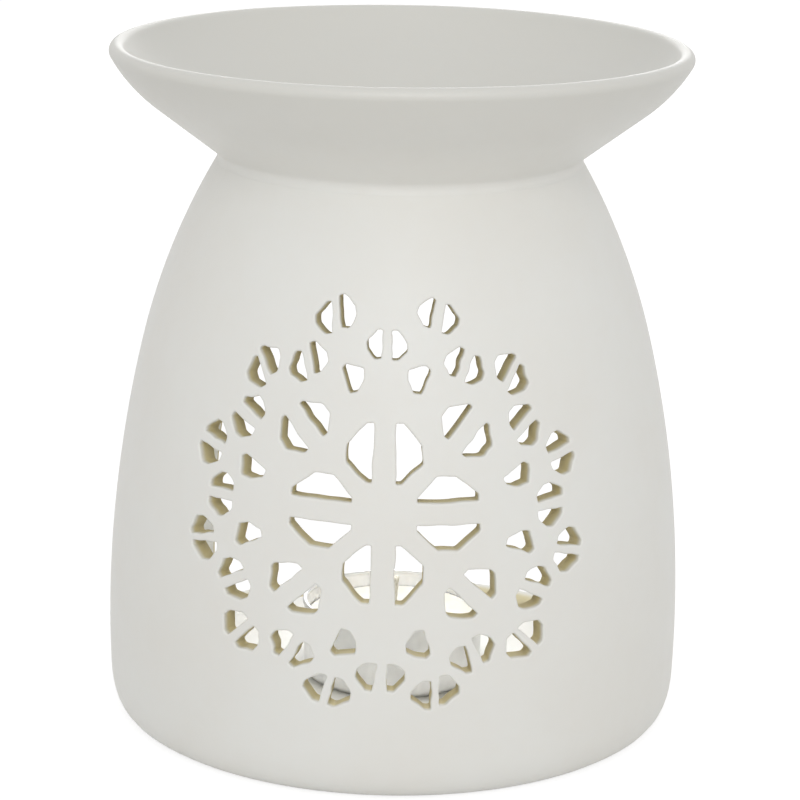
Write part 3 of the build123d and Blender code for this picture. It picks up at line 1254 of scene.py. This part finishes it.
    def build(self, glaze: bpy.types.Material) -> bpy.types.Object:
        """Makes the bell as one closed surface.

        Args:
            glaze: Its porcelain.

        Returns:
            The piece.
        """
        skin = Skin("cut", "satin")
        openings = [self.pierce(skin, hole, self.hole_round) for hole in self.rosette()]
        openings.append(self.pierce(skin, self.arch(), self.arch_round))
        foot, neck = self.cover(skin, self.outside, [o[0] for o in openings], self.outside_spacing)
        floor, ceiling = self.cover(skin, self.inside, [o[1] for o in openings], self.inside_spacing)
        below = turned(skin, self.underside(), self.azimuths)
        skin.weave(np.stack([below[-1], foot]))
        skin.weave(np.stack([neck, ceiling]))
        edge = self.inside.profile[0]
        middle = np.array([[0.0, self.floor_top]])
        inner_floor = turned(skin, np.vstack([line(edge, middle[0], 16), middle]), self.azimuths)
        skin.weave(np.stack([floor, inner_floor[0]]))
        piece = skin.finish("pierced_bell", glaze)
        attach(piece, "burner")
        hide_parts("burner_body")
        return piece


@dataclass
class OilDish:
    """The flared dish on the neck, luted on with a soft fillet."""

    wall: float = 3.2 * MM
    floor: float = 4.5 * MM
    flare: float = radians(37.6)
    flare_share: float = 0.474
    curl_radius: float = 31.8 * MM
    bowl_round: float = 14 * MM
    fillet: float = 1.9 * MM
    fillet_root: float = 0.5 * MM
    root_sink_share: float = 0.25
    seat_depth: float = 2.2 * MM
    lip_rows: int = 17
    ring_points: int = 288
    waviness: float = 0.1 * MM
    waves: tuple[Wave, ...] = (Wave(1.0, 2, 1.1), Wave(0.5, 3, 0.4), Wave(0.25, 7))
    swell_share: float = 0.6
    swell_lag: int = 40
    satin_start_share: float = 0.15

    def profile(self, bell: Bell) -> tuple[np.ndarray, np.ndarray]:
        """The outline: under the neck, over the fillet, up the flare, over the lip and down inside.

        Args:
            bell: The body that the dish sits on.

        Returns:
            Rows of radius and height, and each row's share of the satiny glaze and of the painted shade.
        """
        base, top = (corner.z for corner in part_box("oil_dish"))
        height = top - base
        neck, lean = bell.outside.profile[-1], bell.outside.normals[-1]
        down = np.array([lean[1], -lean[0]])
        flare_run = np.array([cos(self.flare), sin(self.flare)])
        flare_up = np.array([-sin(self.flare), cos(self.flare)])
        bend = acos(float(down @ flare_run))
        tangent = self.fillet / tan(bend / 2)
        start, end = neck + tangent * down, neck + tangent * flare_run
        centre = start + self.fillet * lean
        from_angle = atan2(start[1] - centre[1], start[0] - centre[0])
        to_angle = atan2(end[1] - centre[1], end[0] - centre[0])
        fillet = arc(tuple(centre), self.fillet, from_angle % FULL_TURN, to_angle % FULL_TURN, 9)

        flare_top = neck + height * self.flare_share / sin(self.flare) * flare_run
        curl_centre = flare_top + self.curl_radius * flare_up
        lip_height = top - self.wall / 2
        lip_reach = self.curl_radius - self.wall / 2
        lip_angle = acos((curl_centre[1] - lip_height) / lip_reach)
        lip_centre = curl_centre + lip_reach * np.array([sin(lip_angle), -cos(lip_angle)])
        curl = arc(tuple(curl_centre), self.curl_radius, self.flare - pi / 2, lip_angle - pi / 2, 26)
        lip = arc(tuple(lip_centre), self.wall / 2, lip_angle - pi / 2, lip_angle + pi / 2, self.lip_rows)
        inner = self.curl_radius - self.wall
        inner_curl = arc(tuple(curl_centre), inner, lip_angle - pi / 2, self.flare - pi / 2, 26)
        floor_height = base + self.floor
        inner_drop = inner_curl[-1, 1] - floor_height - self.bowl_round * (1 - cos(self.flare))
        bowl_start = inner_curl[-1] - flare_run * inner_drop / sin(self.flare)
        bowl_centre = bowl_start + self.bowl_round * flare_up
        bowl = arc(tuple(bowl_centre), self.bowl_round, self.flare - pi / 2, -pi / 2, 18)
        under = line((0.0, base), (neck[0] - self.seat_depth, base), 10)
        rows = [
            [[0.0, base]],
            under,
            [[neck[0] - self.seat_depth, base]],
            [start + self.fillet_root * (down - self.root_sink_share * lean)],
            fillet,
            line(end, flare_top, 14),
            curl,
            lip[1:],
            inner_curl[1:],
            line(inner_curl[-1], bowl_start, 10),
            bowl,
            line(bowl[-1], (0.0, floor_height), 16),
            [[0.0, floor_height]],
        ]
        outline = np.vstack(rows)
        outer_rows = len(np.vstack(rows[:7]))
        climb = (outline[:, 1] - base) / height
        # this mark drives the satiny glaze and the painted shade: it grows up the underside and is full
        # inside the dish
        satin = smooth_step((climb - self.satin_start_share) / (1 - self.satin_start_share))
        satin[outer_rows + self.lip_rows // 2 :] = 1.0
        return outline, satin

    def build(self, bell: Bell, glaze: bpy.types.Material) -> bpy.types.Object:
        """Turns the dish, with a rim that waves a little.

        Args:
            bell: The body that it sits on.
            glaze: Its porcelain.

        Returns:
            The piece.
        """
        outline, satin = self.profile(bell)
        azimuths = around(self.ring_points)
        base, top = (corner.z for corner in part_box("oil_dish"))
        held = smooth_step((outline[:, 1] - base) / (top - base))[:, None]
        waves = rippled(self.waves, azimuths)
        swell = self.swell_share * self.waviness * held * np.roll(waves, self.swell_lag)
        skin = Skin("cut", "satin")
        turned(skin, outline, azimuths, swell, self.waviness * held * waves, satin=satin)
        piece = skin.finish("flared_dish", glaze)
        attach(piece, "burner")
        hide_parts("oil_dish")
        return piece


@dataclass
class Tealight:
    """The tealight: a pressed cup, its wax, a braided wick and the wick's steel foot."""

    cup_wall: float = 0.4 * MM
    corner: float = 1.2 * MM
    bead: float = 0.5 * MM
    bead_foot_share: float = 0.98
    base_step: float = 0.25 * MM
    flutes: int = 60
    flute_depth: float = 0.06 * MM
    meniscus: float = 0.55 * MM
    wall_climb: float = 2.2 * MM
    wick_climb: float = 1.1 * MM
    dip: float = 0.35 * MM
    wax_edge_turn: float = 0.4 * pi
    ripple_height: float = 0.06 * MM
    ripple_depth: float = 2 * MM
    ripples: tuple[Wave, ...] = (Wave(1.0, 3, 0.5), Wave(0.6, 8, 2.0))
    wick_clearance: float = 0.05 * MM
    neck_wall: float = 0.25 * MM
    neck_height: float = 3 * MM
    seat_gap: float = 0.1 * MM
    wick_bend: float = 0.5 * MM
    bend_share: float = 0.38
    tip_share: float = 0.035
    tip_flat_share: float = 0.02
    strand_depth_share: float = 0.2
    strands: int = 6
    plait_pitch: float = 3.4 * MM
    wick_points: int = 48
    wick_rows: int = 130
    ring_points: int = 240

    def cup(self, foil: bpy.types.Material) -> bpy.types.Object:
        """Presses the cup: a stepped base, fluted wall and rolled rim, with the same shape inside.

        Args:
            foil: Its metal.

        Returns:
            The piece.
        """
        low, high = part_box("tealight_cup")
        outer = high.x - self.bead + self.cup_wall / 2
        centre = outer - self.cup_wall / 2
        bead_height = high.z - self.bead
        corner_centre = (outer - self.corner, low.z + self.corner)
        step_out = outer - 3 * self.corner
        raised = low.z + self.base_step
        inner_corner = self.corner - self.cup_wall
        base = [
            [[0.0, raised]],
            line((0.0, raised), (step_out - self.corner, raised), 8),
            [[step_out - self.corner, raised], [step_out, low.z]],
            line((step_out, low.z), (outer - self.corner, low.z), 2),
        ]
        outside = arc(corner_centre, self.corner, -pi / 2, 0, 10)
        bead_foot = bead_height - self.bead * self.bead_foot_share
        wall_out = line(outside[-1], (outer, bead_foot), 24)
        meet = asin((self.cup_wall / 2) / self.bead)
        bead = arc((centre, bead_height), self.bead, -pi / 2 + meet, 1.5 * pi - meet, 22)
        inside_radius = outer - self.cup_wall
        floor = low.z + self.cup_wall
        inside_corner = arc((outer - self.corner, low.z + self.corner), inner_corner, 0, -pi / 2, 8)
        wall_in = line((inside_radius, bead_foot), (inside_radius, inside_corner[0, 1]), 24)
        floor_in = [
            line(inside_corner[-1], (step_out, floor), 2),
            [[step_out, floor], [step_out - self.corner, floor + self.base_step]],
            line((step_out - self.corner, floor + self.base_step), (0.0, floor + self.base_step), 8),
            [[0.0, floor + self.base_step]],
        ]
        profile = np.vstack([*base, outside, wall_out, bead, wall_in, inside_corner, *floor_in])
        on_wall = smooth_step((profile[:, 1] - low.z) / (2 * self.corner))
        on_wall *= smooth_step((bead_foot - profile[:, 1]) / (2 * self.corner))
        azimuths = around(self.ring_points)
        flutes = self.flute_depth * np.cos(self.flutes * azimuths)
        skin = Skin()
        turned(skin, profile, azimuths, on_wall[:, None] * (flutes - self.flute_depth))
        piece = skin.finish("pressed_cup", foil)
        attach(piece, "tealight")
        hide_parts("tealight_cup")
        return piece

    def wax(self, paraffin: bpy.types.Material) -> bpy.types.Object:
        """Pours the wax: it climbs the cup and the wick, dips between them, and has a bore for the wick.

        Args:
            paraffin: Its wax.

        Returns:
            The piece.
        """
        low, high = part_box("candle_wax")
        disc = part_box("wick_sustainer")[1]
        wick_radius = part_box("wick")[1].x
        bore = wick_radius + self.wick_clearance
        neck = bore + self.neck_wall + self.seat_gap
        disc_top = disc.z - self.neck_height
        disc_reach = disc.x + self.seat_gap
        edge = high.x - self.corner
        below = [
            [[bore, disc.z], [neck, disc.z], [neck, disc_top]],
            line((neck, disc_top), (disc_reach, disc_top), 4),
            [[disc_reach, disc_top], [disc_reach, low.z]],
            line((disc_reach, low.z), (edge, low.z), 5),
        ]
        side = arc((edge, low.z + self.corner), self.corner, -pi / 2, 0, 10)
        wall = line(side[-1], (high.x, high.z - self.bead), 10)
        shoulder = arc((high.x - self.bead, high.z - self.bead), self.bead, 0, self.wax_edge_turn, 6)
        reach = np.linspace(shoulder[-1, 0], bore, 44)[1:]
        from_wall = (shoulder[-1, 0] - reach) / self.wall_climb
        from_wick = (reach - bore) / self.wick_climb
        pool = shoulder[-1, 1] - self.meniscus * (1 - np.exp(-from_wall))
        pool = pool - self.dip * np.sin(pi * (reach - bore) / (shoulder[-1, 0] - bore))
        pool = pool + self.meniscus * np.exp(-from_wick)
        bore_rows = line((bore, pool[-1]), (bore, disc.z), 6)
        profile = np.vstack([*below, side, wall, shoulder, np.column_stack([reach, pool]), bore_rows])
        skin = Skin()
        azimuths = around(self.ring_points)
        ripple = self.ripple_height * rippled(self.ripples, azimuths)
        on_top = (profile[:, 1] > high.z - self.ripple_depth) & (profile[:, 0] > bore)
        held = on_top * np.sin(pi * profile[:, 0] / high.x)
        grid = turned(skin, profile, azimuths, 0.0, held[:, None] * ripple)
        skin.weave(np.stack([grid[-1], grid[0]]))
        piece = skin.finish("poured_wax", paraffin)
        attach(piece, "wax_refill")
        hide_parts("candle_wax")
        return piece

    def wick(self, cotton: bpy.types.Material) -> bpy.types.Object:
        """Plaits the wick: two families of strands cross, and the radius follows the higher of two waves.

        Args:
            cotton: Its cotton.

        Returns:
            The piece.
        """
        low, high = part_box("wick")
        azimuths = around(self.wick_points)
        length = high.z - low.z
        shares = np.linspace(0, 1, self.wick_rows)[:, None]
        climb = FULL_TURN * shares * length / self.plait_pitch
        rounds = self.strands / 2 * azimuths
        crossing = np.maximum(np.abs(np.cos(rounds + climb)), np.abs(np.cos(rounds - climb)))
        in_tip = ((shares - (1 - self.tip_share)) / self.tip_share).clip(0)
        tip = np.sqrt(np.clip(1 - in_tip**2, self.tip_flat_share, 1))
        radius = high.x * (1 - self.strand_depth_share * (1 - crossing)) * tip
        points = round_the_axis(radius, azimuths[None], low.z + shares * length)
        standing = ((shares - (1 - self.bend_share)) / self.bend_share).clip(0) ** 2
        points[..., 0] += self.wick_bend * standing
        skin = Skin("hollow")
        grid = skin.add(points, hollow=1 - crossing)
        skin.weave(grid)
        skin.cap(grid[0], skin.add(points[0].mean(0)), True)
        skin.cap(grid[-1], skin.add(points[-1].mean(0)), False)
        piece = skin.finish("plaited_wick", cotton)
        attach(piece, "wax_refill")
        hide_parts("wick")
        return piece

    def dress_sustainer(self, steel: bpy.types.Material) -> bpy.types.Object:
        """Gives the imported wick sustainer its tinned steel.

        Args:
            steel: Its metal.

        Returns:
            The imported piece.
        """
        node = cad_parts["wick_sustainer"]
        node.data.materials.clear()
        node.data.materials.append(steel)
        return node


@dataclass(frozen=True)
class Viewpoint:
    """The camera on the photograph's line of sight, a little above the dish and turned by two degrees."""

    reach: float = 571.7 * MM
    height: float = 223.2 * MM
    turn: float = radians(2)
    tilt: float = radians(15.46)
    swing: float = radians(0.079)
    roll: float = radians(1)
    lens: float = 127.63
    sensor: float = 36.0

    def build(self) -> None:
        """Sets the camera up and makes it the scene's own."""
        camera = bpy.data.cameras.new("photograph")
        camera.lens = self.lens
        camera.sensor_width = self.sensor
        holder = bpy.data.objects.new("photograph", camera)
        aim = Matrix.Rotation(self.turn - self.swing, 4, "Z") @ Matrix.Rotation(pi / 2 - self.tilt, 4, "X")
        stand = Vector((self.reach * sin(self.turn), -self.reach * cos(self.turn), self.height))
        holder.matrix_world = Matrix.Translation(stand) @ aim @ Matrix.Rotation(self.roll, 4, "Z")
        bpy.context.scene.collection.objects.link(holder)
        bpy.context.scene.camera = holder


@dataclass(frozen=True)
class Lamp:
    """A soft box: where it stands, how large it is, how strongly it shines and into how wide a cone."""

    name: str
    place: tuple[float, float, float]
    width: float
    watts: float
    spread: float = pi

    def build(self, aim: Vector) -> None:
        """Hangs the lamp and turns it to the object.

        Args:
            aim: The point that it faces.
        """
        light = bpy.data.lights.new(self.name, "AREA")
        light.shape = "DISK"
        light.size = self.width
        light.energy = self.watts
        light.spread = self.spread
        holder = bpy.data.objects.new(self.name, light)
        holder.visible_camera = False
        stand = Vector(self.place)
        towards = (aim - stand).to_track_quat("-Z", "Y")
        holder.matrix_world = Matrix.Translation(stand) @ towards.to_matrix().to_4x4()
        bpy.context.scene.collection.objects.link(holder)


@dataclass(frozen=True)
class Studio:
    """A white table in a white room, with soft boxes in front, above and behind, and one in the chamber."""

    floor_reach: float = 4.0
    floor_drop: float = 0.1 * MM
    floor_tone: Tone = (246, 246, 246)
    bounce_tone: Tone = (229, 228, 226)
    floor_glow: float = 1.3
    floor_whiteness: float = 0.58
    room_light: float = 0.71
    aim_height: float = 70 * MM
    lamps: tuple[Lamp, ...] = (
        Lamp("overhead", (-0.2, -0.35, 1.2), 0.9, 0.2),
        Lamp("front", (0.12, -1.3, 0.72), 0.9, 5.5),
        Lamp("behind", (0.0, 0.9, 0.35), 0.5, 1.2),
        Lamp("chamber", (0.0, 0.0, 0.112), 0.05, 0.021, radians(80)),
    )

    @staticmethod
    def seen_directly(recipe: Recipe) -> Signal:
        """1 for what the eye, a reflection or clear glass sees, and 0 for what lights the object.

        Args:
            recipe: Where the nodes are added.

        Returns:
            The signal.
        """
        rays = ("Is Camera Ray", "Is Glossy Ray", "Is Transmission Ray")
        eye, mirror, glass = (recipe.node("ShaderNodeLightPath", output=name) for name in rays)
        return eye | mirror | glass

    def table(self) -> bpy.types.Material:
        """The table's paper: white with a soft shadow to the eye, and greyer where it lights the object.

        Returns:
            The material.
        """
        recipe, paper = Recipe.for_material("white_table")
        seen = recipe.node("ShaderNodeBsdfDiffuse", values={"Color": linear_tone(self.floor_tone)})
        glow = recipe.node("ShaderNodeEmission", values={"Color": WHITE, "Strength": self.floor_glow})
        white = recipe.node("ShaderNodeMixShader", values={0: self.floor_whiteness, 1: seen, 2: glow})
        bounce = recipe.node("ShaderNodeBsdfDiffuse", values={"Color": linear_tone(self.bounce_tone)})
        values = {0: self.seen_directly(recipe), 1: bounce, 2: white}
        recipe.output(recipe.node("ShaderNodeMixShader", values=values))
        return paper

    def build(self) -> None:
        """Lays the floor, lights the room and hangs the lamps."""
        corners = np.array([[-1, -1], [1, -1], [1, 1], [-1, 1]]) * self.floor_reach
        skin = Skin()
        skin.faces.append(skin.add(np.column_stack([corners, np.full(4, -self.floor_drop)]))[None])
        skin.finish("table", self.table())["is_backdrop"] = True

        world = bpy.data.worlds.new("white_room")
        world.use_nodes = True
        bpy.context.scene.world = world
        air = Recipe(world.node_tree)
        strength = self.room_light + (1 - self.room_light) * self.seen_directly(air)
        room = air.node("ShaderNodeBackground", values={"Color": WHITE, "Strength": strength})
        air.output(room, "ShaderNodeOutputWorld")
        for lamp in self.lamps:
            lamp.build(Vector((0, 0, self.aim_height)))


def main() -> None:
    """Builds the scene in order: the view and the light, then the burner, then its tealight."""
    logging.basicConfig(level=logging.INFO, format="%(message)s")
    scene = bpy.context.scene
    scene.view_settings.view_transform = "Standard"
    Viewpoint().build()
    Studio().build()
    bell = Bell()
    tealight = Tealight()
    pieces = [
        bell.build(Porcelain().make("porcelain")),
        OilDish().build(bell, Porcelain(satin_roughness=0.42).make("porcelain_dish")),
        tealight.cup(PressedFoil().make("cup_aluminium")),
        tealight.wax(Paraffin().make("wax")),
        tealight.wick(WaxedCotton().make("cotton")),
        tealight.dress_sustainer(TinnedSteel().make("tinned_steel")),
    ]
    for piece in pieces:
        mesh = piece.data
        log.info("%s: %d vertices, %d faces", piece.name, len(mesh.vertices), len(mesh.polygons))
    boxes = {"cad": cad_box, "visual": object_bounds()}
    rows = {name: [list(map(float, corner)) for corner in box] for name, box in boxes.items()}


if __name__ == "__main__":
    main()
